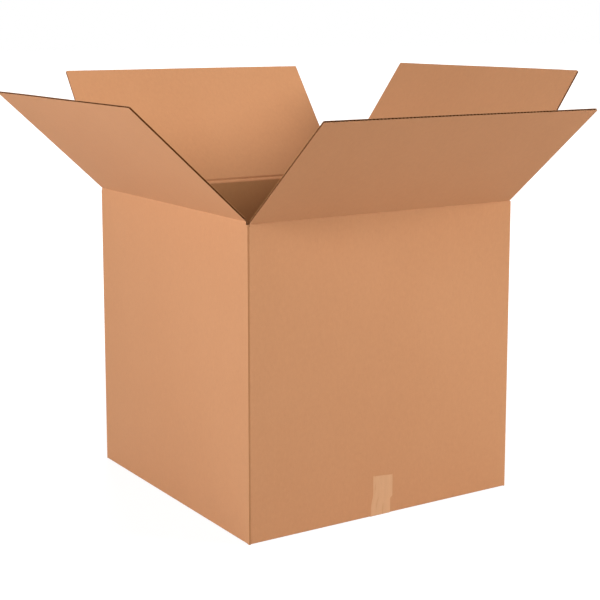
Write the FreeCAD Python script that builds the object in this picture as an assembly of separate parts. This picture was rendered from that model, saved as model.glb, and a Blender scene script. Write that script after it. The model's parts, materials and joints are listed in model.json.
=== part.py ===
import FreeCAD, Part
import math
import os

os.makedirs("parts", exist_ok=True)

# Open cardboard box, all sizes in millimetres.
# The origin is at the middle of the footprint, on the floor.
# +X runs to the right along the front, the front looks along -Y, +Z is up.

# Corrugated board
board = 4.0
liner = 0.5
flute_pitch_aim = 8.0
flute_web = 0.5
flute_mouth_depth = 30.0

# Room inside the closed box
inside_length = 635.0
inside_width = 635.0
inside_depth = 610.0

# Folds, creases and slots
nest_gap = 0.3
crease_skin = 0.5
crease_gap = 0.15
meeting_gap = 1.0
corner_slot = 9.6
slot_below_crease = 0.8
post_below_crease = 1.6
post_clearance = 0.4
fold_radius = 3.0
corner_radius = 3.5

# Glued joint at the front left corner
tab_width = 35.0
tab_bevel = 12.0
joint_groove_width = 0.6
joint_groove_depth = 2.6

# Rest angle of each top flap, outward from upright, in degrees
front_tilt = 50.9
back_tilt = 37.4
left_tilt = 47.1
right_tilt = 35.3

# Tape over the bottom seam, with its ends up the front and the back
tape_thick = 0.1
tape_width = 48.0
tape_front_shift = -11.0
tape_back_shift = -3.0
tape_kink_low = 31.0
tape_kink_high = 36.0
tape_kink_step = 5.5
tape_front_left_top = 84.5
tape_front_right_top = 80.5
tape_back_left_top = 79.0
tape_back_right_top = 82.0

# Sizes that follow from the ones above
half_x = inside_length / 2 + board
half_y = inside_width / 2 + board
layer = board + nest_gap
outer_base = 0.0
inner_base = outer_base + layer
inside_floor = inner_base + board
minor_crease = inside_floor + inside_depth + board
major_crease = minor_crease + layer
slot_low = outer_base + slot_below_crease
slot_high = minor_crease - layer - slot_below_crease
post_high = minor_crease - post_below_crease
minor_half_span = half_x - corner_slot / 2
major_half_span = half_y - corner_slot / 2
flap_root = crease_skin + crease_gap
minor_reach = half_y - meeting_gap / 2
major_reach = half_x - meeting_gap / 2

up = FreeCAD.Vector(0, 0, 1)
origin = FreeCAD.Vector(0, 0, 0)

# Turn about Z that carries a side built at the front to its own place
FRONT = 0.0
LEFT = -90.0
BACK = 180.0
RIGHT = 90.0


def polygon(points):
    closed = points + [points[0]]
    return Part.Face(Part.makePolygon(closed))


def turned(shape, angle):
    copy = shape.copy()
    copy.rotate(origin, up, angle)
    return copy


def panel_strip(half_depth, half_span, base, crease):
    """One wall with its bottom flap: a strip of board folded once, seen from its end.

    Towards the crease the board is crushed from the inside, down to a thin skin,
    which leaves half of a groove. The top flap has the other half at its root.
    """
    out = -half_depth
    corner = FreeCAD.Vector(0, out + fold_radius, base + fold_radius)
    slant = fold_radius * math.sqrt(0.5)
    low = FreeCAD.Vector(0, out + fold_radius, base)
    mid = FreeCAD.Vector(0, corner.y - slant, corner.z - slant)
    side = FreeCAD.Vector(0, out, base + fold_radius)
    path = [
        side,
        FreeCAD.Vector(0, out, crease),
        FreeCAD.Vector(0, out + crease_skin, crease),
        FreeCAD.Vector(0, out + crease_skin, crease - crease_skin - nest_gap),
        FreeCAD.Vector(0, out + board, crease - layer),
        FreeCAD.Vector(0, out + board, base + board),
        FreeCAD.Vector(0, -meeting_gap / 2, base + board),
        FreeCAD.Vector(0, -meeting_gap / 2, base),
        low,
    ]
    edges = [Part.makeLine(a, b) for a, b in zip(path, path[1:])]
    edges.append(Part.Arc(low, mid, side).toShape())
    face = Part.Face(Part.Wire(edges))
    face.translate(FreeCAD.Vector(-half_span, 0, 0))
    return face.extrude(FreeCAD.Vector(2 * half_span, 0, 0))


def between_corners(low, high, clearance):
    """Two crossed blocks that cover everything but the four corners, between two heights."""
    half_long = minor_half_span + clearance
    half_wide = major_half_span + clearance
    return [
        Part.makeBox(
            2 * half_long,
            2 * half_y + 2,
            high - low,
            FreeCAD.Vector(-half_long, -half_y - 1, low),
        ),
        Part.makeBox(
            2 * half_x + 2,
            2 * half_wide,
            high - low,
            FreeCAD.Vector(-half_x - 1, -half_wide, low),
        ),
    ]


def wall_ring():
    """The four walls and their upright folds, which reach from one pair of corner slots to the other."""
    height = post_high - slot_low
    block = Part.makeBox(2 * half_x, 2 * half_y, height, FreeCAD.Vector(-half_x, -half_y, slot_low))
    folds = []
    for edge in block.Edges:
        a = edge.Vertexes[0].Point
        b = edge.Vertexes[1].Point
        upright = abs(a.z - b.z) > height / 2
        joint = a.x < 0 and a.y < 0
        if upright and not joint:
            folds.append(edge)
    block = block.makeFillet(corner_radius, folds)
    room = Part.makeBox(
        2 * (half_x - board),
        2 * (half_y - board),
        height + 2,
        FreeCAD.Vector(-half_x + board, -half_y + board, slot_low - 1),
    )
    # Beside the bottom folds and beside the creases only the four corner posts remain
    foot = between_corners(slot_low - 1, inner_base + fold_radius, 0)
    head = between_corners(slot_high, post_high + 1, post_clearance)
    return block.cut([room] + foot + head)


def glue_tab():
    """Tab of the front wall, glued behind the left wall."""
    x = -half_x + board
    y = -half_y + board
    low = inside_floor + nest_gap
    high = slot_high
    face = polygon([
        FreeCAD.Vector(x, y, low),
        FreeCAD.Vector(x, y + tab_width, low + tab_bevel),
        FreeCAD.Vector(x, y + tab_width, high - tab_bevel),
        FreeCAD.Vector(x, y, high),
    ])
    return face.extrude(FreeCAD.Vector(board, 0, 0))


def joint_groove():
    """Groove between the cut end of the left wall and the fold of the front wall."""
    return Part.makeBox(
        joint_groove_width,
        joint_groove_depth,
        post_high - slot_low,
        FreeCAD.Vector(-half_x + board, -half_y, slot_low),
    )


def top_flap(half_depth, half_span, reach, crease, tilt, side):
    """One top flap with the flute mouths along its free edge and half of the crease's groove at its root."""
    section = polygon([
        FreeCAD.Vector(-half_span, 0, flap_root),
        FreeCAD.Vector(-half_span, 0, reach),
        FreeCAD.Vector(-half_span, board, reach),
        FreeCAD.Vector(-half_span, board, layer),
        FreeCAD.Vector(-half_span, crease_skin, flap_root),
    ])
    plate = section.extrude(FreeCAD.Vector(2 * half_span, 0, 0))
    flutes = round(2 * half_span / flute_pitch_aim)
    pitch = 2 * half_span / flutes
    core = board - 2 * liner
    slope = math.atan2(core, pitch / 2)
    inset = flute_web / 2 / math.cos(slope)
    half_mouth = pitch / 2 * (core - inset) / core
    low = reach - flute_mouth_depth
    mouths = []
    for i in range(2 * flutes - 1):
        middle = -half_span + (i + 1) * pitch / 2
        if i % 2 == 0:
            base = liner
            tip = liner + core - inset
        else:
            base = board - liner
            tip = liner + inset
        face = polygon([
            FreeCAD.Vector(middle - half_mouth, base, low),
            FreeCAD.Vector(middle + half_mouth, base, low),
            FreeCAD.Vector(middle, tip, low),
        ])
        mouths.append(face.extrude(FreeCAD.Vector(0, 0, flute_mouth_depth + 1)))
    flap = plate.cut(Part.makeCompound(mouths))
    flap.rotate(origin, FreeCAD.Vector(1, 0, 0), tilt)
    flap.translate(FreeCAD.Vector(0, -half_depth, crease))
    return turned(flap, side)


def tape_underside():
    """The tape below the box, pressed flush into the bottom flaps."""
    front = -half_y - tape_thick
    back = half_y + tape_thick
    face = polygon([
        FreeCAD.Vector(tape_front_shift - tape_width / 2, front, 0),
        FreeCAD.Vector(tape_front_shift + tape_width / 2, front, 0),
        FreeCAD.Vector(tape_back_shift + tape_width / 2, back, 0),
        FreeCAD.Vector(tape_back_shift - tape_width / 2, back, 0),
    ])
    return face.extrude(FreeCAD.Vector(0, 0, tape_thick))


def tape_ends():
    """The two ends of the tape, the front one with the small sideways step it has."""
    left = tape_front_shift - tape_width / 2
    right = tape_front_shift + tape_width / 2
    y = -half_y - tape_thick
    front = polygon([
        FreeCAD.Vector(left, y, 0),
        FreeCAD.Vector(right, y, 0),
        FreeCAD.Vector(right, y, tape_kink_low),
        FreeCAD.Vector(right + tape_kink_step, y, tape_kink_high),
        FreeCAD.Vector(right + tape_kink_step, y, tape_front_right_top),
        FreeCAD.Vector(left + tape_kink_step, y, tape_front_left_top),
        FreeCAD.Vector(left + tape_kink_step, y, tape_kink_high),
        FreeCAD.Vector(left, y, tape_kink_low),
    ])
    left = tape_back_shift - tape_width / 2
    right = tape_back_shift + tape_width / 2
    back = polygon([
        FreeCAD.Vector(left, half_y, 0),
        FreeCAD.Vector(right, half_y, 0),
        FreeCAD.Vector(right, half_y, tape_back_right_top),
        FreeCAD.Vector(left, half_y, tape_back_left_top),
    ])
    thick = FreeCAD.Vector(0, tape_thick, 0)
    return front.extrude(thick), back.extrude(thick)


underside = tape_underside()
front_end, back_end = tape_ends()
seam_tape = underside.fuse([front_end, back_end]).removeSplitter()

front_strip = panel_strip(half_y, minor_half_span, inner_base, minor_crease)
side_strip = panel_strip(half_x, major_half_span, outer_base, major_crease)
box_body = wall_ring().fuse([
    turned(front_strip, FRONT),
    turned(front_strip, BACK),
    turned(side_strip, LEFT),
    turned(side_strip, RIGHT),
    glue_tab(),
])
box_body = box_body.removeSplitter().cut(joint_groove()).cut(underside)

nodes = {
    "box_body": box_body,
    "front_flap": top_flap(half_y, minor_half_span, minor_reach, minor_crease, front_tilt, FRONT),
    "back_flap": top_flap(half_y, minor_half_span, minor_reach, minor_crease, back_tilt, BACK),
    "left_flap": top_flap(half_x, major_half_span, major_reach, major_crease, left_tilt, LEFT),
    "right_flap": top_flap(half_x, major_half_span, major_reach, major_crease, right_tilt, RIGHT),
    "seam_tape": seam_tape,
}

for name, shape in nodes.items():
    solids = shape.Solids
    if len(solids) != 1:
        raise ValueError(name + " is not one solid")
    if not solids[0].isValid():
        raise ValueError(name + " is not valid")
    solids[0].exportStep("parts/" + name + ".step")
    box = solids[0].BoundBox
    print(name, "x", round(box.XMin, 2), round(box.XMax, 2), "y", round(box.YMin, 2), round(box.YMax, 2),
          "z", round(box.ZMin, 2), round(box.ZMax, 2), "litres", round(solids[0].Volume / 1e6, 3))
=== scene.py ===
import bpy
import json
import math
import numpy as np
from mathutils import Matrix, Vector


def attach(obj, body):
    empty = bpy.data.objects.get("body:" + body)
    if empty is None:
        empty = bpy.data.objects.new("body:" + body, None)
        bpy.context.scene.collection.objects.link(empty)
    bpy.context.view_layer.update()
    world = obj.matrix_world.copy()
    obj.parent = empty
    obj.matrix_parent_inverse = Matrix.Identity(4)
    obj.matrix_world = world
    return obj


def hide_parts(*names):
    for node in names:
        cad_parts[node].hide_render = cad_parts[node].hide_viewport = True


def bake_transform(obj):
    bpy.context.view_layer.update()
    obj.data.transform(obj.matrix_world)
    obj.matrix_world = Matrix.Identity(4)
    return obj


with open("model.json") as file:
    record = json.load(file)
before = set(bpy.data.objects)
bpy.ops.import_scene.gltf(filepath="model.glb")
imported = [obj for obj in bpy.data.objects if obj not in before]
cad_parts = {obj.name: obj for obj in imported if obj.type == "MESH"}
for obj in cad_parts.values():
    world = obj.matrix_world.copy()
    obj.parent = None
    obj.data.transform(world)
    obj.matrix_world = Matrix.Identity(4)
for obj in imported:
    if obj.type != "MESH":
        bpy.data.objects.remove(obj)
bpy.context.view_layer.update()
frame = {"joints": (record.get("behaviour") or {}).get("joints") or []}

# Sizes of the box, in metres, as the solids have them
BOARD = 0.004
NEST = 0.0003
LAYER = BOARD + NEST
HALF = 0.3215
INNER = HALF - BOARD
SPAN = 0.3167
REACH = 0.3210
MEETING = 0.0005
FLUTES = 79
PITCH = 2 * SPAN / FLUTES
SHELL_LOW = 0.0008
SLOT_BELOW = 0.0008
POST_BELOW = 0.0016
FOLD = 0.0030
CORNER = 0.0035
TAB = 0.035
TAB_BEVEL = 0.012

# Sizes that only the visible shapes have
LINER = 0.00042
BODY_LOW = 0.00012
FOLD_TOP = 0.0105
FOLD_INSIDE = 0.0008
TAB_GLUE = 0.0001
TAB_FOLD = 0.0007
TAB_LENGTH = 0.59
DROOP = 0.0023
DROOP_LOW = 0.0009
CREASE_UP = 0.0062
WEB = 0.00022
WEB_CLEAR = 0.00003

# Vertices in one cell of this size become one, and the shift keeps round sizes off the cell borders
WELD = 2e-6
WELD_SHIFT = 0.37

SIDES = {"front": 0.0, "right": 90.0, "back": 180.0, "left": -90.0}
joints = {j["name"]: j for j in frame["joints"]}
CREASE = {s: joints[s + "_flap_crease"]["pos_m"][2] for s in SIDES}
TILT = {s: math.radians(-90 - joints[s + "_flap_crease"]["range_deg"][0]) for s in SIDES}
BASE = {"front": BODY_LOW + LAYER, "back": BODY_LOW + LAYER, "left": BODY_LOW, "right": BODY_LOW}
SHELL_HIGH = CREASE["front"] - LAYER - SLOT_BELOW
POST_HIGH = CREASE["front"] - POST_BELOW

# Length of the blank from the middle of one wall to the middle of the next
WALL_STEP = 2 * (HALF - CORNER + CORNER * math.pi / 4)
OFFSET = {"front": 0.0, "right": WALL_STEP, "back": 2 * WALL_STEP, "left": 3 * WALL_STEP}

# Which way the flaps bow: the inner pair inwards, the outer pair outwards
BOW = {"front": 1.0, "back": 1.0, "left": -1.0, "right": -1.0}

# Places in the list of board materials. The last holds the inner liner drawn darker as painted shade for
# the inside of the shell.
OUTER, INSIDE, EDGE, THIN, WAVE, SIDE, SHADED_INNER = range(7)

# Depths in the paper's noise, so that each layer of the board has its own marks.
# The last one is how much deeper the inner face lies than the outer face.
OUTER_LAYER = 0.31
WAVE_LAYER = 2.0
INNER_LAYER = 7.3

# A distance to a cut or a fold that is too far to show
FAR = 0.05

# Columns of a wall further out than this lie beside the slots
SLOT_EDGE = SPAN - 0.0001

# Where the bow of a wall ends towards its sides, and the lengths over which it fades
BOW_ENDS = 0.303
BOW_FADE = 0.14
BOW_FADE_TOP = 0.10


def turn(points, side):
    """Carries points built at the front to a side of the box."""
    a = math.radians(SIDES[side])
    c, s = math.cos(a), math.sin(a)
    out = np.array(points, float)
    x, y = out[..., 0].copy(), out[..., 1].copy()
    out[..., 0] = x * c - y * s
    out[..., 1] = x * s + y * c
    return out


def smooth(t):
    """Eases from 0 to 1."""
    t = np.clip(t, 0, 1)
    return t * t * (3 - 2 * t)


def steps(a, b, step):
    """Even values from a to b, about a step apart."""
    return np.linspace(a, b, max(2, int(round(abs(b - a) / step)) + 1))


def wobble(u, v, seed, scale):
    """A smooth uneven field, mostly between -1 and 1."""
    rng = np.random.default_rng(seed)
    total = np.zeros(np.broadcast(u, v).shape)
    for k in range(7):
        direction = rng.uniform(0, 2 * math.pi)
        wave = rng.uniform(0.7, 2.2) / scale
        phase = rng.uniform(0, 2 * math.pi)
        along = u * math.cos(direction) + v * math.sin(direction)
        total = total + np.sin(along * 2 * math.pi * wave + phase)
    return total / 4.0


class Sheet:
    """Faces of board. A vertex knows its place on the flat blank and its distance to a cut and a fold."""

    def __init__(self):
        self.points = []
        self.values = []
        self.faces = []
        self.slots = []
        self.count = 0

    def thick(
        self, outer, inner, u, v, cut, fold,
        slots=(OUTER, INSIDE, EDGE), opened=None, layer=OUTER_LAYER,
    ):
        """A board from two grids of points.

        An edge of the grid that opened names stays without a face where its mask is true.
        """
        opened = opened or {}
        n, m = outer.shape[:2]
        index = np.arange(n * m).reshape(n, m)
        half = n * m
        faces = []
        for i in range(n - 1):
            for j in range(m - 1):
                a, b, c, d = index[i, j], index[i + 1, j], index[i + 1, j + 1], index[i, j + 1]
                faces.append(((a, b, c, d), slots[0]))
                faces.append(((a + half, d + half, c + half, b + half), slots[1]))
        rims = {
            "v0": [(index[i, 0], index[i + 1, 0]) for i in range(n - 1)],
            "v1": [(index[i + 1, m - 1], index[i, m - 1]) for i in range(n - 1)],
            "u0": [(index[0, j + 1], index[0, j]) for j in range(m - 1)],
            "u1": [(index[n - 1, j], index[n - 1, j + 1]) for j in range(m - 1)],
        }
        for name, pairs in rims.items():
            mask = np.broadcast_to(opened.get(name, False), (len(pairs),))
            for (p, q), is_open in zip(pairs, mask):
                if not is_open:
                    faces.append(((q, p, p + half, q + half), slots[2]))

        def both(a):
            return np.tile(np.broadcast_to(a, (n, m)).reshape(-1), 2)

        depth = np.concatenate([np.full(half, layer), np.full(half, layer + INNER_LAYER)])
        self.points.append(np.concatenate([outer.reshape(-1, 3), inner.reshape(-1, 3)]))
        self.values.append(np.stack([both(u), both(v), depth, both(cut), both(fold)], -1))
        for corners, slot in faces:
            self.faces.append(tuple(int(k) + self.count for k in corners))
            self.slots.append(slot)
        self.count += 2 * half

    def build(self, name, materials, angle=35.0):
        """Welds the faces to one mesh, with an edge sharp where it turns by more than the angle."""
        points = np.concatenate(self.points)
        values = np.concatenate(self.values)
        key = np.floor(points / WELD + WELD_SHIFT).astype(np.int64)
        first, inverse = np.unique(key, axis=0, return_index=True, return_inverse=True)[1:]
        inverse = inverse.reshape(-1)
        faces, slots = [], []
        for corners, slot in zip(self.faces, self.slots):
            ring = []
            for k in corners:
                w = int(inverse[k])
                if w not in ring:
                    ring.append(w)
            if len(ring) > 2:
                faces.append(ring)
                slots.append(slot)
        points, values = points[first], values[first]
        mesh = bpy.data.meshes.new(name)
        mesh.from_pydata(points.tolist(), [], faces)
        for label, kind, field, part in (
            ("blank", "FLOAT_VECTOR", "vector", values[:, :3]),
            ("cut", "FLOAT", "value", values[:, 3]),
            ("fold", "FLOAT", "value", values[:, 4]),
        ):
            attribute = mesh.attributes.new(label, kind, "POINT")
            attribute.data.foreach_set(field, part.astype(np.float32).ravel())
        for material in materials:
            mesh.materials.append(material)
        mesh.polygons.foreach_set("material_index", slots)
        mesh.polygons.foreach_set("use_smooth", [True] * len(mesh.polygons))
        mesh.update()
        mesh.set_sharp_from_angle(angle=math.radians(angle))
        piece = bpy.data.objects.new(name, mesh)
        bpy.context.scene.collection.objects.link(piece)
        return piece


# Materials


def node(tree, kind, inputs=None, **settings):
    """A new shader node. An input is either a value or the output of another node."""
    n = tree.nodes.new(kind)
    for key, value in settings.items():
        setattr(n, key, value)
    for key, value in (inputs or {}).items():
        if hasattr(value, "is_output"):
            tree.links.new(value, n.inputs[key])
        else:
            n.inputs[key].default_value = value
    return n


def calc(tree, operation, a, b=None, c=None):
    inputs = {i: value for i, value in enumerate((a, b, c)) if value is not None}
    return node(tree, "ShaderNodeMath", inputs, operation=operation).outputs[0]


def ramp(tree, value, low, high, to_low=0.0, to_high=1.0):
    """Eases from one value to another as the input goes from low to high."""
    inputs = {"Value": value, "From Min": low, "From Max": high, "To Min": to_low, "To Max": to_high}
    return node(tree, "ShaderNodeMapRange", inputs, interpolation_type="SMOOTHSTEP").outputs["Result"]


def mix(tree, factor, a, b):
    """Colour a where the factor is 0 and colour b where it is 1."""
    return node(tree, "ShaderNodeMix", {0: factor, 6: a, 7: b}, data_type="RGBA").outputs[2]


def srgb(r, g, b):
    """The linear colour of three display values from 0 to 255."""
    def line(c):
        c = c / 255
        return c / 12.92 if c <= 0.04045 else ((c + 0.055) / 1.055) ** 2.4

    return (line(r), line(g), line(b), 1.0)


def new_material(name):
    """A material, its node tree, its surface node and the place on the flat blank."""
    material = bpy.data.materials.new(name)
    material.use_nodes = True
    tree = material.node_tree
    blank = node(tree, "ShaderNodeAttribute", attribute_name="blank").outputs["Vector"]
    return material, tree, tree.nodes["Principled BSDF"], blank


def noise(tree, vector, scale, stretch=(1, 1, 1), detail=3.0, rough=0.55):
    mapping = node(tree, "ShaderNodeMapping", {"Vector": vector, "Scale": stretch})
    inputs = {"Vector": mapping.outputs[0], "Scale": scale, "Detail": detail, "Roughness": rough}
    return node(tree, "ShaderNodeTexNoise", inputs).outputs["Fac"]


def raw_paper(tree, shader, colour, height, strength):
    """The dull, rough surface of cut or torn paper, in place of the smooth face of a liner."""
    tree.links.new(colour, shader.inputs["Base Color"])
    shader.inputs["Roughness"].default_value = 0.9
    shader.inputs["Specular IOR Level"].default_value = 0.12
    bump = node(tree, "ShaderNodeBump", {"Height": height, "Strength": strength, "Distance": 0.0003})
    tree.links.new(bump.outputs["Normal"], shader.inputs["Normal"])


def through_board(tree, z):
    """0 on the outer face of the board and 1 on its inner face."""
    depth = ramp(tree, z, OUTER_LAYER, OUTER_LAYER + INNER_LAYER)
    depth.node.interpolation_type = "LINEAR"
    return depth


def flute_wave(tree, x):
    """The wave of the middle sheet along a wall, between -1 and 1."""
    return calc(tree, "SINE", calc(tree, "MULTIPLY", x, 2 * math.pi / PITCH))


def kraft(name, base, light, dark, fibre=1.0, flute=0.10):
    """Unbleached kraft liner: cloudy formation, long fibres, dark specks, rubbed creases and edges."""
    material, tree, shader, blank = new_material(name)
    cut = node(tree, "ShaderNodeAttribute", attribute_name="cut").outputs["Fac"]
    fold = node(tree, "ShaderNodeAttribute", attribute_name="fold").outputs["Fac"]
    clouds = noise(tree, blank, 5.0, (1, 0.6, 1), detail=4.0)
    formation = noise(tree, blank, 130.0, (1.0, 0.75, 1), detail=5.0, rough=0.65)
    fibres = noise(tree, blank, 560.0, (1.0, 0.20, 1), detail=4.0, rough=0.6)
    hairs = noise(tree, blank, 1600.0, (0.14, 1.0, 1), detail=2.0)
    specks = noise(tree, blank, 620.0, detail=1.0)

    colour = mix(tree, ramp(tree, clouds, 0.30, 0.70, 0.40, 0.60), dark, light)
    colour = mix(tree, 0.55, colour, base)
    for field, low, high, share, tone in (
        (formation, 0.45, 0.75, 0.20, light),
        (formation, 0.50, 0.25, 0.18, dark),
        (fibres, 0.54, 0.76, 0.26, light),
        (fibres, 0.46, 0.26, 0.22, dark),
        (hairs, 0.60, 0.80, 0.18, light),
    ):
        amount = calc(tree, "MULTIPLY", ramp(tree, field, low, high), share * fibre)
        colour = mix(tree, amount, colour, tone)
    speck = calc(tree, "MULTIPLY", ramp(tree, specks, 0.745, 0.80), 0.40 * fibre)
    colour = mix(tree, speck, colour, srgb(126, 84, 54))

    # Rubbed folds are paler in patches, and a cut rim is a little darker
    patches = noise(tree, blank, 70.0, detail=4.0, rough=0.7)
    worn = calc(tree, "MULTIPLY", ramp(tree, fold, 0.0045, 0.0010), ramp(tree, patches, 0.35, 0.70))
    colour = mix(tree, calc(tree, "MULTIPLY", worn, 0.45), colour, light)
    colour = mix(tree, ramp(tree, cut, 0.0012, 0.0001, 0.0, 0.30), colour, dark)
    tree.links.new(colour, shader.inputs["Base Color"])
    roughness = ramp(tree, formation, 0.25, 0.75, 0.74, 0.86)
    tree.links.new(roughness, shader.inputs["Roughness"])
    shader.inputs["Specular IOR Level"].default_value = 0.25

    height = calc(tree, "MULTIPLY", fibres, 0.50)
    height = calc(tree, "MULTIPLY_ADD", hairs, 0.30, height)
    height = calc(tree, "MULTIPLY_ADD", formation, 0.55, height)
    x = node(tree, "ShaderNodeSeparateXYZ", {"Vector": blank}).outputs["X"]
    height = calc(tree, "MULTIPLY_ADD", flute_wave(tree, x), flute, height)
    bump = node(tree, "ShaderNodeBump", {"Height": height, "Strength": 0.30, "Distance": 0.00012})
    tree.links.new(bump.outputs["Normal"], shader.inputs["Normal"])
    return material


def board_edge(name):
    """A knife-cut edge of the board: two pale liners and the wave of the middle sheet, with painted shade
    for the hollows between them.
    """
    material, tree, shader, blank = new_material(name)
    split = node(tree, "ShaderNodeSeparateXYZ", {"Vector": blank}).outputs
    depth = through_board(tree, split["Z"])
    jitter = noise(tree, blank, 300.0, (1, 1, 0.02), detail=3.0)
    x = calc(tree, "MULTIPLY_ADD", jitter, 0.002, split["X"])
    wave = calc(tree, "MULTIPLY_ADD", flute_wave(tree, x), 0.36, 0.5)
    off_wave = calc(tree, "ABSOLUTE", calc(tree, "SUBTRACT", depth, wave))
    off_middle = calc(tree, "ABSOLUTE", calc(tree, "SUBTRACT", depth, 0.5))
    fuzz = noise(tree, blank, 900.0, (1, 1, 0.3), detail=4.0, rough=0.7)
    # The base colour is painted shade for the hollows between the waves
    colour = mix(tree, ramp(tree, fuzz, 0.3, 0.7), srgb(112, 73, 46), srgb(136, 92, 60))
    colour = mix(tree, ramp(tree, off_wave, 0.13, 0.07), colour, srgb(172, 122, 84))
    colour = mix(tree, ramp(tree, off_middle, 0.38, 0.42), colour, srgb(206, 155, 115))
    raw_paper(tree, shader, colour, fuzz, 0.5)
    return material


def board_side(name):
    """A knife-cut edge along the flutes: two liners and the long flank of one crushed wave."""
    material, tree, shader, blank = new_material(name)
    split = node(tree, "ShaderNodeSeparateXYZ", {"Vector": blank}).outputs
    depth = through_board(tree, split["Z"])
    streaks = noise(tree, blank, 160.0, (1, 0.12, 0.25), detail=4.0, rough=0.7)
    off_middle = calc(tree, "ABSOLUTE", calc(tree, "SUBTRACT", depth, 0.5))
    colour = mix(tree, ramp(tree, streaks, 0.3, 0.7), srgb(178, 121, 79), srgb(200, 144, 99))
    colour = mix(tree, ramp(tree, off_middle, 0.36, 0.42), colour, srgb(204, 148, 104))
    raw_paper(tree, shader, colour, streaks, 0.4)
    return material


def paper(name, base, dark):
    """The torn rim of a liner, and the rougher paper of the middle sheet."""
    material, tree, shader, blank = new_material(name)
    fuzz = noise(tree, blank, 420.0, (1, 0.25, 0.05), detail=4.0, rough=0.7)
    colour = mix(tree, ramp(tree, fuzz, 0.3, 0.7), dark, base)
    raw_paper(tree, shader, colour, fuzz, 0.5)
    return material


def parcel_tape(name):
    """Tan polypropylene tape: smooth film with drawn streaks and a few trapped bubbles."""
    material, tree, shader, blank = new_material(name)
    streaks = noise(tree, blank, 90.0, (1.0, 0.12, 1), detail=3.0)
    bubbles = noise(tree, blank, 150.0, detail=3.0)
    colour = mix(tree, ramp(tree, streaks, 0.3, 0.7), srgb(218, 164, 118), srgb(223, 170, 124))
    colour = mix(tree, ramp(tree, bubbles, 0.58, 0.74, 0.0, 0.30), colour, srgb(230, 179, 134))
    tree.links.new(colour, shader.inputs["Base Color"])
    tree.links.new(ramp(tree, streaks, 0.3, 0.7, 0.26, 0.40), shader.inputs["Roughness"])
    shader.inputs["Specular IOR Level"].default_value = 0.45
    bump = node(tree, "ShaderNodeBump", {"Height": bubbles, "Strength": 0.04, "Distance": 0.00015})
    tree.links.new(bump.outputs["Normal"], shader.inputs["Normal"])
    return material


outer_liner = kraft("kraft_outer", srgb(210, 150, 105), srgb(220, 162, 117), srgb(197, 136, 92))
inner_liner = kraft("kraft_inner", srgb(211, 151, 105), srgb(221, 162, 116), srgb(197, 136, 92), 1.1, 0.16)
# The same paper as the inner liner, drawn darker as painted shade for the inside of the shell
shaded_inner_liner = kraft("kraft_inner_painted_shade", srgb(190, 139, 92), srgb(199, 149, 101), srgb(178, 127, 81), 1.1, 0.16)
BOARD_MATERIALS = [
    outer_liner,
    inner_liner,
    board_edge("board_edge"),
    paper("liner_rim", srgb(216, 164, 120), srgb(196, 142, 98)),
    # The middle sheet is darker than the liners, as recycled fluting paper is, and darker still as painted
    # shade for the hollows between the waves
    paper("fluting", srgb(138, 84, 42), srgb(104, 62, 30)),
    board_side("board_side"),
    shaded_inner_liner,
]


# The shell: four walls, four bottom flaps and the glue tab, one sheet of board

MID_U = np.concatenate([
    [-SPAN, -0.3105, -0.3040],
    steps(-0.290, 0.290, 0.0145),
    [0.3040, 0.3105, SPAN],
])


def plain_end():
    """Columns from the slot to the middle of an upright fold: outer points, inner points and blank."""
    phi = np.linspace(0, math.pi / 4, 5)
    out = np.stack([HALF - CORNER + CORNER * np.sin(phi), -HALF + CORNER * (1 - np.cos(phi))], -1)
    inn = np.stack([SPAN + (INNER - SPAN) * np.linspace(0.2, 1, 5), np.full(5, -INNER)], -1)
    return out, inn, HALF - CORNER + CORNER * phi


def raw_end():
    """Columns up to the cut end of the left wall, which lies flush with the front."""
    x = np.array([0.3180, 0.3198, HALF])
    return np.stack([x, np.full(3, -HALF)], -1), np.stack([x, np.full(3, -INNER)], -1), x


def mirrored(end):
    """The same columns for the left end of a wall."""
    out, inn, u = end
    flip = np.array([-1.0, 1.0])
    return out[::-1] * flip, inn[::-1] * flip, -u[::-1]


def tab_end():
    """Columns of the front wall's fold and of its tab behind the left wall."""
    back = np.array([TAB, 0.0335, 0.030, 0.024, 0.018, 0.012, 0.006, 0.002, 0.0])
    x = -INNER + TAB_GLUE
    tab_out = np.stack([np.full(9, x), -INNER + back], -1)
    tab_in = np.stack([np.full(9, x + BOARD), -INNER + back], -1)
    phi = np.radians([90.0, 70.0, 50.0, 30.0, 15.0, 0.0])
    centre = x + TAB_FOLD
    fold_out = np.stack([centre - TAB_FOLD * np.sin(phi), -HALF + TAB_FOLD * (1 - np.cos(phi))], -1)
    fold_in = np.stack([x + BOARD + np.arange(1, 7) * 0.0002, np.full(6, -INNER)], -1)
    fold_u = centre - TAB_FOLD * phi
    tab_u = fold_u[0] - (BOARD - TAB_FOLD) - back
    return (
        np.concatenate([tab_out, fold_out]),
        np.concatenate([tab_in, fold_in]),
        np.concatenate([tab_u, fold_u]),
        np.concatenate([back, np.zeros(6)]),
    )


def raised(points, z):
    """A grid from columns of (x, y) and rows of heights."""
    grid = np.zeros(z.shape + (3,))
    grid[..., :2] = points[:, None, :]
    grid[..., 2] = z
    return grid


def wall_bow(u, z, side):
    """How far a wall stands out from flat: about a millimetre at most, and nothing at its edges."""
    seed = {"front": 3, "left": 5, "back": 8, "right": 13}[side]
    from_ends = smooth((BOW_ENDS - np.abs(u)) / BOW_FADE)
    from_foot = smooth((z - FOLD_TOP) / BOW_FADE)
    from_top = smooth((SHELL_HIGH - z) / BOW_FADE_TOP)
    fade = from_ends * from_foot * from_top
    return fade * (0.0005 + 0.0004 * wobble(u, z, seed, 0.9))


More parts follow.
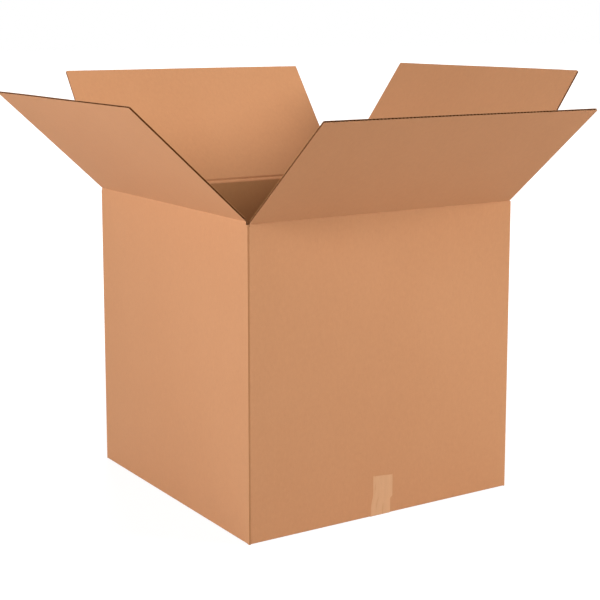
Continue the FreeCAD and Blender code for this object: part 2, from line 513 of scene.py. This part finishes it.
def wall_panel(sheet, side):
    """One wall from above its bottom fold up to the level of the slots."""
    mid = np.stack([MID_U, np.full(len(MID_U), -HALF)], -1)
    mid_in = np.stack([MID_U, np.full(len(MID_U), -INNER)], -1)
    right = raw_end() if side == "left" else plain_end()
    if side == "front":
        left_out, left_in, left_u, tab = tab_end()
        mid, mid_in, mid_u = mid[1:], mid_in[1:], MID_U[1:]
    else:
        left_out, left_in, left_u = mirrored(plain_end())
        mid_u, tab = MID_U, np.zeros(len(left_u))
    out = np.concatenate([left_out, mid, right[0]])
    inn = np.concatenate([left_in, mid_in, right[1]])
    u = np.concatenate([left_u, mid_u, right[2]])
    tab = np.concatenate([tab, np.zeros(len(u) - len(tab))])
    k = np.concatenate([[0.0, 0.008], steps(0.025, 0.975, 0.025), [0.992, 1.0]])
    bevel = TAB_BEVEL * tab / TAB
    z = (FOLD_TOP + bevel)[:, None] + (SHELL_HIGH - FOLD_TOP - 2 * bevel)[:, None] * k[None, :]
    U = np.broadcast_to(u[:, None], z.shape)
    outer, inner = raised(out, z), raised(inn, z)
    bow = wall_bow(U, z, side)
    outer[..., 1] -= bow
    inner[..., 1] -= bow
    cut = np.where(np.abs(U) > SLOT_EDGE, SHELL_HIGH - z, FAR)
    fold = np.minimum(np.abs(WALL_STEP / 2 - np.abs(U)), FAR)
    if side == "left":
        cut = np.minimum(cut, HALF - U)
        fold = np.where(U > 0, FAR, fold)
    if side == "front":
        on_tab = (tab > 0)[:, None]
        # Roughly the distance to the nearer slanted end of the tab
        off_tab_ends = np.minimum(k, 1 - k)[None, :] * TAB_LENGTH
        cut = np.where(on_tab, np.minimum(TAB - tab[:, None], off_tab_ends), cut)
        fold = np.where(U < 0, np.abs(U + INNER), fold)
    # Faces are left out where the bottom flap, a corner post or the next wall goes on.
    # The tab and the cut end of the left wall keep theirs.
    first = 0 if side != "front" else len(left_u)
    foot = np.arange(len(u) - 1) >= first
    in_slot = np.abs(u) > SLOT_EDGE
    head = in_slot[:-1] & in_slot[1:] & foot
    opened = {"v0": foot, "v1": head, "u0": side != "front", "u1": side != "left"}
    slots = (OUTER, SHADED_INNER, SIDE if side == "left" else EDGE)
    sheet.thick(turn(outer, side), turn(inner, side), U + OFFSET[side], z, cut, fold, slots, opened)


def end_is_cut(out):
    """Whether a set of columns ends at the cut end of the left wall."""
    return abs(abs(out[:, 0]).max() - HALF) < 1e-9 and np.ptp(out[:, 1]) < 1e-9


def corner_post(sheet, side, end, heights, joined):
    """What stays of an upright fold beside the flaps, from the level of the walls to the end of a slot."""
    out, inn, u = end
    Z = np.broadcast_to(np.array(heights), (len(u), len(heights)))
    tip = heights[0] if joined == "v1" else heights[-1]
    cut = np.abs(Z - tip)
    fold = np.broadcast_to(np.abs(WALL_STEP / 2 - np.abs(u))[:, None], Z.shape)
    inside = abs(out[0, 0]) > abs(out[-1, 0])
    joint = end_is_cut(out)
    opened = {joined: True, "u0": inside and not joint, "u1": not inside and not joint}
    slots = (OUTER, SHADED_INNER, SIDE)
    U = np.broadcast_to(u[:, None] + OFFSET[side], Z.shape)
    sheet.thick(turn(raised(out, Z), side), turn(raised(inn, Z), side), U, Z, cut, fold, slots, opened)


def with_slot(end, at):
    """The same columns with one more at the slot."""
    out, inn, u = end
    place = 0 if at > 0 else len(u)
    return (
        np.insert(out, place, [at, -HALF], 0),
        np.insert(inn, place, [at, -INNER], 0),
        np.insert(u, place, at),
    )


def bottom_flap(sheet, side):
    """The fold at the foot of a wall and the bottom flap that follows it."""
    base = BASE[side]
    rows = [(-HALF, FOLD_TOP, -INNER, FOLD_TOP, FOLD_TOP, FOLD_TOP - base)]
    inner_pair = side in ("front", "back")
    # The fold of the inner pair bulges down in front of the outer pair's edges
    radius, low, sweep = (DROOP, DROOP_LOW, math.pi) if inner_pair else (FOLD, base, math.pi / 2)
    for k in np.linspace(0, 1, 10):
        a = k * sweep
        out_y = -HALF + radius * (1 - math.cos(a))
        out_z = low + radius * (1 - math.sin(a))
        in_y = -INNER + FOLD_INSIDE * (1 - math.cos(k * math.pi / 2))
        in_z = base + BOARD + FOLD_INSIDE * (1 - math.sin(k * math.pi / 2))
        rows.append((out_y, out_z, in_y, in_z, low + radius * (1 - a), 0.0))
    near = [-HALF + 0.0048, -HALF + 0.0062]
    for y in np.concatenate([near, steps(-0.305, -0.015, 0.0242), [-0.004, -MEETING]]):
        in_y = max(y, -INNER + 2 * FOLD_INSIDE)
        rows.append((y, base, in_y, base + BOARD, base - (y + HALF), y + HALF))
    rows = np.array(rows[::-1])
    n, m = len(MID_U), len(rows)
    outer, inner = np.zeros((n, m, 3)), np.zeros((n, m, 3))
    outer[..., 0] = inner[..., 0] = MID_U[:, None]
    outer[..., 1], outer[..., 2] = rows[:, 0], rows[:, 1]
    inner[..., 1], inner[..., 2] = rows[:, 2], rows[:, 3]
    U = np.broadcast_to(MID_U[:, None], (n, m))
    below = np.broadcast_to(rows[:, 4], (n, m))
    cut = np.minimum(SPAN - np.abs(U), np.broadcast_to(-MEETING - rows[:, 0], (n, m)))
    fold = np.broadcast_to(rows[:, 5], (n, m))
    top = np.ones(n - 1, bool)
    if side == "front":
        top[0] = False
    slots = (OUTER, SHADED_INNER, SIDE)
    opened = {"v1": top}
    sheet.thick(turn(outer, side), turn(inner, side), U + OFFSET[side], below, cut, fold, slots, opened)


# Heights of the rows of the corner posts, below the walls and above them
FOOT = [SHELL_LOW, 0.0035, 0.0070, FOLD_TOP]
HEAD = [SHELL_HIGH, (SHELL_HIGH + POST_HIGH) / 2, POST_HIGH]

shell = Sheet()
for side in SIDES:
    wall_panel(shell, side)
    bottom_flap(shell, side)
    ends = [with_slot(raw_end() if side == "left" else plain_end(), SPAN)]
    if side != "front":
        ends.append(with_slot(mirrored(plain_end()), -SPAN))
    for end in ends:
        corner_post(shell, side, end, FOOT, "v1")
        corner_post(shell, side, end, HEAD, "v0")
box_shell = shell.build("box_shell", BOARD_MATERIALS)
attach(box_shell, "box_body")
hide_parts("box_body")


# The top flaps: two liners and the waves of the middle sheet between them


def flap_place(u, a, r, side):
    """u along the crease, a inwards through the board, r out along the flap, at its rest angle."""
    t = TILT[side]
    y = -HALF + a * math.cos(t) - r * math.sin(t)
    z = CREASE[side] + a * math.sin(t) + r * math.cos(t)
    return turn(np.stack(np.broadcast_arrays(u, y, z), -1), side)


def flap_bow(u, r, side):
    """The slight bow of a flap, nothing at its crease."""
    seed = {"front": 21, "left": 34, "back": 55, "right": 89}[side]
    return BOW[side] * smooth((r - CREASE_UP) / REACH * 1.1) * (0.0007 + 0.0005 * wobble(u, r, seed, 0.8))


def flap_end(u):
    """Where the free edge lies: its corners are a little blunted."""
    near = np.clip((np.abs(u) - (SPAN - 0.004)) / 0.004, 0, 1)
    return REACH - 0.0012 * near ** 2


def top_flap(side):
    """The board of one top flap above its crease, with the waves that show along its cut edges."""
    sheet = Sheet()
    u = np.concatenate([
        [-SPAN, -SPAN + 0.0008, -SPAN + 0.0020, -SPAN + 0.0040],
        steps(-SPAN + 0.010, SPAN - 0.010, 0.010),
        [SPAN - 0.0040, SPAN - 0.0020, SPAN - 0.0008, SPAN],
    ])
    k = np.concatenate([steps(0, 0.95, 0.045), [0.97, 0.985, 0.994, 1.0]])
    U, K = np.meshgrid(u, k, indexing="ij")
    R = CREASE_UP + (flap_end(U) - CREASE_UP) * K
    bow = flap_bow(U, R, side)
    cut = np.minimum(SPAN - np.abs(U), flap_end(U) - R)
    for low, faces, seed, layer in (
        (0.0, (OUTER, INSIDE, THIN), 31, OUTER_LAYER),
        (BOARD - LINER, (INSIDE, INSIDE, THIN), 37, OUTER_LAYER + INNER_LAYER),
    ):
        ragged = R + 0.00016 * wobble(U, 0 * U, seed, 0.03) * (K > 0.999)
        outer = flap_place(U, low + bow, ragged, side)
        inner = flap_place(U, low + LINER + bow, ragged, side)
        sheet.thick(outer, inner, U + OFFSET[side], R + CREASE[side], cut, R, faces, layer=layer)
    uf = np.linspace(-SPAN, SPAN, FLUTES * 12 + 1)
    UF, KF = np.meshgrid(uf, np.array([0.0, 0.25, 0.5, 0.75, 0.95, 1.0]), indexing="ij")
    RF = CREASE_UP + (flap_end(UF) - 0.0004 - CREASE_UP) * KF
    bow = flap_bow(UF, RF, side)
    swing = (BOARD - 2 * LINER - WEB) / 2 - WEB_CLEAR
    wave = BOARD / 2 + swing * np.sin((UF + SPAN) / PITCH * 2 * math.pi + math.pi / 2) + bow
    outer = flap_place(UF, wave - WEB / 2, RF, side)
    inner = flap_place(UF, wave + WEB / 2, RF, side)
    sheet.thick(outer, inner, UF * 3, RF, FAR, FAR, (WAVE, WAVE, WAVE), layer=WAVE_LAYER)
    piece = sheet.build(side + "_flap_board", BOARD_MATERIALS, 40.0)
    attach(piece, side + "_flap")
    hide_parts(side + "_flap")


def crease_strip(side):
    """The crushed board of a crease, bent to its flap's rest angle."""
    down = CREASE[side] - SHELL_HIGH
    near = np.array([0.0004, 0.0008, 0.0012, 0.0016, 0.0021, 0.0026, 0.0031, 0.0038, 0.0045, 0.0056])
    below = near[near < down - 0.0003]
    b = np.concatenate([[-down], -below[::-1], [0.0], near, [CREASE_UP]])
    tip = SPAN - 0.0003
    u = np.concatenate([[-tip], steps(-SPAN + 0.006, SPAN - 0.006, 0.012), [tip]])
    U, B = np.meshgrid(u, b, indexing="ij")
    # Outside, a bead stands out below and above the dent. Inside, the board narrows to a lip.
    bead_below = 0.00032 * np.exp(-((B + 0.0026) / 0.0010) ** 2)
    bead_above = 0.00022 * np.exp(-((B - 0.0027) / 0.0010) ** 2)
    dent = 0.00035 * np.exp(-((B / 0.0007) ** 2))
    uneven = 1 + 0.35 * wobble(U, 0 * U, 61, 0.05)
    a_out = -(bead_below + bead_above) * uneven + dent
    lip, flank_start, flank_length = 0.00095, 0.0009, 0.0037
    above = np.clip(lip + (B - flank_start) * (BOARD - lip) / flank_length, lip, BOARD)
    share = np.clip(-B / (CREASE["front"] - SHELL_HIGH), 0, 1)
    under = lip + (BOARD - lip) * np.sin(share * math.pi / 2) ** 0.8
    a_in = np.where(B > 0, above, under)
    theta = TILT[side] * smooth((B + 0.0010) / 0.0020)

    def place(a):
        y = -HALF + a * np.cos(theta) - B * np.sin(theta)
        z = CREASE[side] + a * np.sin(theta) + B * np.cos(theta)
        return turn(np.stack([U, y, z], -1), side)

    sheet = Sheet()
    cut, fold = SPAN - np.abs(U), np.abs(B)
    sheet.thick(place(a_out), place(a_in), U + OFFSET[side], B + CREASE[side], cut, fold)
    piece = sheet.build(side + "_crease", BOARD_MATERIALS, 60.0)
    reach, t = 0.0012, TILT[side]
    start = turn(np.array([0, -HALF, CREASE[side] - reach]), side)
    end = turn(np.array([0, -HALF - reach * math.sin(t), CREASE[side] + reach * math.cos(t)]), side)
    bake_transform(piece)


for side in SIDES:
    top_flap(side)
    crease_strip(side)


# The tape over the bottom seam

TAPE_WIDE = 0.048
TAPE_FRONT, TAPE_BACK = -0.011, -0.003

# Where the sideways step of the front end starts and stops, and how far it goes
TAPE_KINK = (0.031, 0.036, 0.0055)

# Heights of the torn ends, one edge and the other
TAPE_TOPS = {"front": (0.0845, 0.0805), "back": (0.0790, 0.0820)}
TAPE_TALL = 0.085
TAPE_ROUND = 0.0024
FILM = 0.00008
FILM_OUT = 0.0001
OFF_FLOOR = 0.00001

# Up to this height the rows of the two ends are level, and above it they lean to the torn line
TAPE_EVEN = 0.042

# How much further the sideways step reaches, up and down, at the left edge of the tape
TAPE_SPREAD = 0.014

# Teeth of the torn line
TOOTH_WIDE = 0.0030
TOOTH_DEEP = 0.0007


def tape_strip():
    """One strip of film down the front, under the box and up the back, with its two torn ends."""
    across = np.linspace(0, 1, 97)
    teeth = TOOTH_DEEP * np.abs(((across * TAPE_WIDE / TOOTH_WIDE) % 1.0) - 0.5)

    def upright(side, h):
        left, right = TAPE_TOPS[side]
        torn = left + (right - left) * across + teeth
        if h <= TAPE_EVEN:
            return np.full(across.shape, h)
        return TAPE_EVEN + (torn - TAPE_EVEN) * (h - TAPE_EVEN) / (TAPE_TALL - TAPE_EVEN)

    rows = []
    arc = np.linspace(0, math.pi / 2, 7)
    heights = np.concatenate([
        [TAPE_TALL, 0.0842, 0.080],
        steps(0.074, 0.056, 0.006),
        np.linspace(0.052, 0.016, 19),
        steps(0.012, 0.006, 0.006),
    ])
    for h in heights:
        low = TAPE_KINK[0] - TAPE_SPREAD * (1 - across)
        high = TAPE_KINK[1] + TAPE_SPREAD * (1 - across)
        kink = TAPE_KINK[2] * smooth((h - low) / (high - low))
        rows.append((TAPE_FRONT + kink, -HALF - FILM_OUT, upright("front", h), (0, -1, 0)))
    for a in arc:
        y = -HALF - FILM_OUT + TAPE_ROUND * (1 - math.cos(a))
        z = np.full(across.shape, TAPE_ROUND * (1 - math.sin(a)) + OFF_FLOOR)
        rows.append((TAPE_FRONT, y, z, (0, -math.cos(a), -math.sin(a))))
    for y in steps(-0.312, 0.312, 0.024):
        middle = TAPE_FRONT + (TAPE_BACK - TAPE_FRONT) * (y + HALF) / (2 * HALF)
        rows.append((middle, y, np.full(across.shape, OFF_FLOOR), (0, 0, -1)))
    for a in arc[::-1]:
        y = HALF + FILM_OUT - TAPE_ROUND * (1 - math.cos(a))
        z = np.full(across.shape, TAPE_ROUND * (1 - math.sin(a)) + OFF_FLOOR)
        rows.append((TAPE_BACK, y, z, (0, math.cos(a), -math.sin(a))))
    heights = np.concatenate([
        steps(0.006, TAPE_EVEN, 0.009),
        steps(0.050, 0.080, 0.010),
        [0.0842, TAPE_TALL],
    ])
    for h in heights:
        rows.append((TAPE_BACK, HALF + FILM_OUT, upright("back", h), (0, 1, 0)))

    n, m = len(across), len(rows)
    outer, inner = np.zeros((n, m, 3)), np.zeros((n, m, 3))
    for j, (middle, y, z, normal) in enumerate(rows):
        outer[:, j] = np.stack([middle + (across - 0.5) * TAPE_WIDE, np.full(n, y), z], -1)
        inner[:, j] = outer[:, j] - FILM * np.array(normal)
    spans = np.linalg.norm(np.diff(outer[n // 2], axis=0), axis=-1)
    along = np.concatenate([[0.0], np.cumsum(spans)])
    U = np.broadcast_to(across[:, None] * TAPE_WIDE, (n, m))
    V = np.broadcast_to(along, (n, m))
    sheet = Sheet()
    # The film has one material, which is the first in its own list
    sheet.thick(outer[:, ::-1], inner[:, ::-1], U, V[:, ::-1], FAR, FAR, (0, 0, 0))
    piece = sheet.build("tape_strip", [parcel_tape("parcel_tape")], 60.0)
    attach(piece, "box_body")
    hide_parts("seam_tape")


tape_strip()


# The floor, the light and the camera

# Between these distances from the middle, the shadow on the floor fades out to plain white
SHADOW_NEAR, SHADOW_FAR = 0.8, 2.2

# How much of the floor close to the box is plain white, and how bright that white is
WHITE_SHARE = 0.66
FLOOR_GLOW = 1.30

LAMP_FAR = 4.2
LAMP_WIDE = 1.5
LAMP_LOWEST = 0.75
LAMP_TARGET = Vector((0, 0, 0.45))

# Angles of the camera in degrees
CAMERA_DOWN = 8.5
CAMERA_TURN = -32.68


def seen_ray(tree):
    """1 for a ray that ends in the picture, also by way of gloss or glass, and 0 for one that lights."""
    path = node(tree, "ShaderNodeLightPath").outputs
    seen = calc(tree, "MAXIMUM", path["Is Camera Ray"], path["Is Glossy Ray"])
    return calc(tree, "MAXIMUM", seen, path["Is Transmission Ray"])


def floor_material():
    """Pale floor that keeps the soft shadow of the box and is plain white further out."""
    material = bpy.data.materials.new("floor_white")
    material.use_nodes = True
    tree = material.node_tree
    tree.nodes.clear()
    out = node(tree, "ShaderNodeOutputMaterial")
    seen = seen_ray(tree)
    diffuse = node(tree, "ShaderNodeBsdfDiffuse", {"Color": (0.80, 0.80, 0.80, 1)})
    glow = node(tree, "ShaderNodeEmission", {"Color": (1, 1, 1, 1), "Strength": FLOOR_GLOW})
    place = node(tree, "ShaderNodeNewGeometry").outputs["Position"]
    far = node(tree, "ShaderNodeVectorMath", {0: place}, operation="LENGTH").outputs["Value"]
    clear = ramp(tree, far, SHADOW_NEAR, SHADOW_FAR, WHITE_SHARE, 1.0)
    shown = node(tree, "ShaderNodeMixShader", {0: clear, 1: diffuse.outputs[0], 2: glow.outputs[0]})
    both = node(tree, "ShaderNodeMixShader", {0: seen, 1: diffuse.outputs[0], 2: shown.outputs[0]})
    tree.links.new(both.outputs[0], out.inputs["Surface"])
    return material


bpy.ops.mesh.primitive_plane_add(size=80, location=(0, 0, 0))
floor = bpy.context.active_object
floor.name = "floor"
floor.data.materials.append(floor_material())


def studio_world(strength):
    """White where it is seen, and a weak even light everywhere else."""
    world = bpy.data.worlds.new("studio")
    bpy.context.scene.world = world
    world.use_nodes = True
    tree = world.node_tree
    tree.nodes.clear()
    out = node(tree, "ShaderNodeOutputWorld")
    seen = seen_ray(tree)
    soft = node(tree, "ShaderNodeBackground", {"Color": (1, 1, 1, 1), "Strength": strength})
    white = node(tree, "ShaderNodeBackground", {"Color": (1, 1, 1, 1), "Strength": 1.0})
    both = node(tree, "ShaderNodeMixShader", {0: seen, 1: soft.outputs[0], 2: white.outputs[0]})
    tree.links.new(both.outputs[0], out.inputs["Surface"])


def lamp(name, azimuth, elevation, power, tint=(1, 1, 1)):
    """A round soft lamp that faces the box, from an angle round it and an angle up."""
    a, e = math.radians(azimuth), math.radians(elevation)
    out = LAMP_FAR * math.cos(e)
    level = max(LAMP_LOWEST, LAMP_TARGET.z + LAMP_FAR * math.sin(e))
    place = Vector((out * math.sin(a), -out * math.cos(a), level))
    data = bpy.data.lights.new(name, "AREA")
    data.shape = "DISK"
    data.size = LAMP_WIDE
    data.energy = power
    data.color = tint
    light = bpy.data.objects.new(name, data)
    light.location = place
    light.rotation_mode = "QUATERNION"
    light.rotation_quaternion = (LAMP_TARGET - place).to_track_quat("-Z", "Y")
    bpy.context.scene.collection.objects.link(light)


studio_world(0.05)
lamp("left_key", -75, 22, 116, (0.97, 1.0, 1.07))
lamp("right_key", 45, 24, 116, (1.0, 1.0, 0.99))
lamp("top_soft", 0, 88, 34)
lamp("back_fill", 158, 12, 105)

camera_data = bpy.data.cameras.new("camera")
camera = bpy.data.objects.new("camera", camera_data)
bpy.context.scene.collection.objects.link(camera)
camera_data.sensor_fit = "HORIZONTAL"
camera_data.sensor_width = 36.0
camera_data.lens = 83.49
camera_data.shift_y = -0.1188
camera_data.clip_start = 0.05
camera_data.clip_end = 120.0
camera.location = (-1.6155, -2.5193, 0.9950)
camera.rotation_euler = (math.radians(90 - CAMERA_DOWN), 0, math.radians(CAMERA_TURN))
bpy.context.scene.camera = camera
bpy.context.scene.view_settings.view_transform = "Standard"
